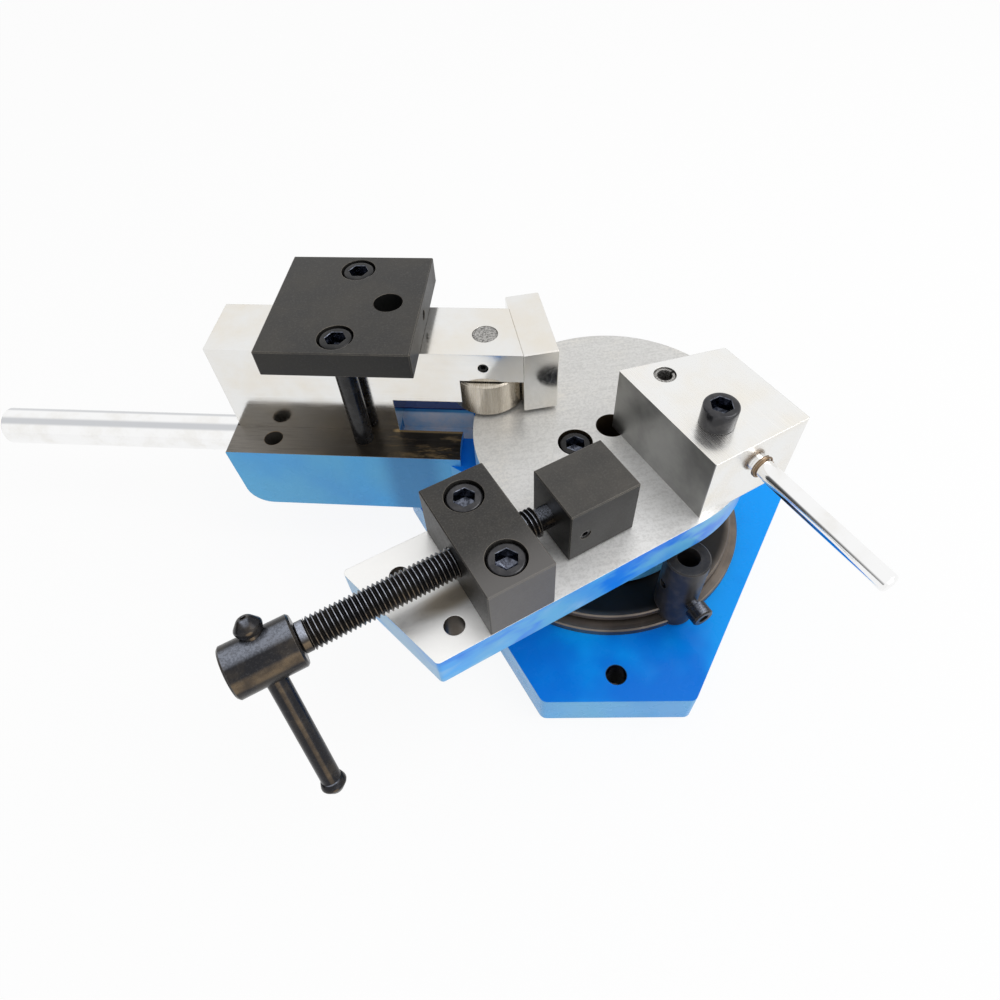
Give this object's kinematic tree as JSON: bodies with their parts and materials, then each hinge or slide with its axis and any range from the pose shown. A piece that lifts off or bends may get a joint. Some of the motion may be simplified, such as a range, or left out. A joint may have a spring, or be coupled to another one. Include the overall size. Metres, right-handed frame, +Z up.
{
  "type": "universal bender",
  "caption": "Bench bender for flat and square bar: swinging arm with forming bar and roller, screw clamp on a tongued table, and a stop post on a round spindle foot.",
  "frame": {"origin": "on the bend axis, at the underside of the base plate", "axes": "+Z up along the bend axis; +X along the lead screw, from the tommy bar to the form block; +Y to the side that the arm stands on"},
  "size_m": [0.467, 0.4303, 0.174],
  "materials": {
    "blue_paint": "glossy machine enamel",
    "ground_table": "finely ground top with painted sides",
    "turned_steel": "turned, browned by oil",
    "black_oxide": "black oxide, satin",
    "screw_black": "black oxide fastener",
    "ground_steel": "surface ground, near mirror",
    "bright_bar": "drawn and polished",
    "roller_steel": "turned and hardened",
    "pin_steel": "plain steel",
    "bronze": "bearing bronze"
  },
  "bodies": {
    "root": {"base_plate": "blue_paint", "spindle": "turned_steel", "spindle_screws": "screw_black", "thrust_washer": "bronze", "cover_washer": "bronze", "table": "ground_table", "table_screws": "screw_black", "table_dowels": "pin_steel", "nut_block": "black_oxide", "nut_block_screws": "screw_black", "form_block": "ground_steel", "form_block_screw": "screw_black", "form_block_pin": "pin_steel", "rod_lock_screw": "screw_black"},
    "gauge": {"gauge_rod": "bright_bar", "rod_collar": "pin_steel"},
    "pusher": {"pusher_block": "black_oxide", "pusher_lock_screw": "screw_black"},
    "screw": {"lead_screw": "screw_black", "screw_hub": "screw_black", "hub_pin": "pin_steel"},
    "tommy": {"tommy_bar": "screw_black", "tommy_caps": "screw_black"},
    "arm": {"arm_casting": "blue_paint", "arm_bush": "bronze", "arm_handle": "bright_bar", "handle_lock_screw": "screw_black", "strap_plate": "black_oxide", "strap_screws": "screw_black", "strap_side_screw": "screw_black"},
    "bar": {"form_bar": "ground_steel", "roller_pin": "pin_steel", "roller_pin_screw": "screw_black", "forming_plate": "ground_steel", "forming_plate_screws": "screw_black"},
    "roller": {"roller": "roller_steel"},
    "stop": {"stop_post": "black_oxide", "stop_clamp_screw": "screw_black", "stop_lock_screw": "screw_black", "stop_side_screw": "screw_black"}
  },
  "joints": [
    {"name": "arm_swing", "type": "hinge", "parent": "root", "child": "arm", "pos_m": [0, 0, 0.065], "axis": [0, 0, 1], "range_deg": [-90, 20]},
    {"name": "bar_slide", "type": "slide", "parent": "arm", "child": "bar", "axis": [-0.8271, 0.5621, 0], "range_m": [-0.018, 0.04]},
    {"name": "roller_spin", "type": "hinge", "parent": "bar", "child": "roller", "pos_m": [-0.04671, 0.06221, 0.12675], "axis": [0, 0, 1], "continuous": true},
    {"name": "pusher_slide", "type": "slide", "parent": "root", "child": "pusher", "axis": [1, 0, 0], "range_m": [-0.0168, 0.0312]},
    {"name": "screw_spin", "type": "hinge", "parent": "pusher", "child": "screw", "pos_m": [-0.2, -0.046, 0.131], "axis": [1, 0, 0], "range_deg": [-2520, 4680]},
    {"name": "tommy_slide", "type": "slide", "parent": "screw", "child": "tommy", "axis": [0, 0.512, 0.859], "range_m": [0, 0.06]},
    {"name": "gauge_slide", "type": "slide", "parent": "root", "child": "gauge", "axis": [0, -1, 0], "range_m": [0, 0.025]},
    {"name": "stop_swing", "type": "hinge", "parent": "root", "child": "stop", "pos_m": [0, 0, 0.038], "axis": [0, 0, 1], "range_deg": [-64, 68]}
  ],
  "couplings": [
    {"joint": "pusher_slide", "follows": "screw_spin", "m_per_rad": 0.00036765}
  ]
}
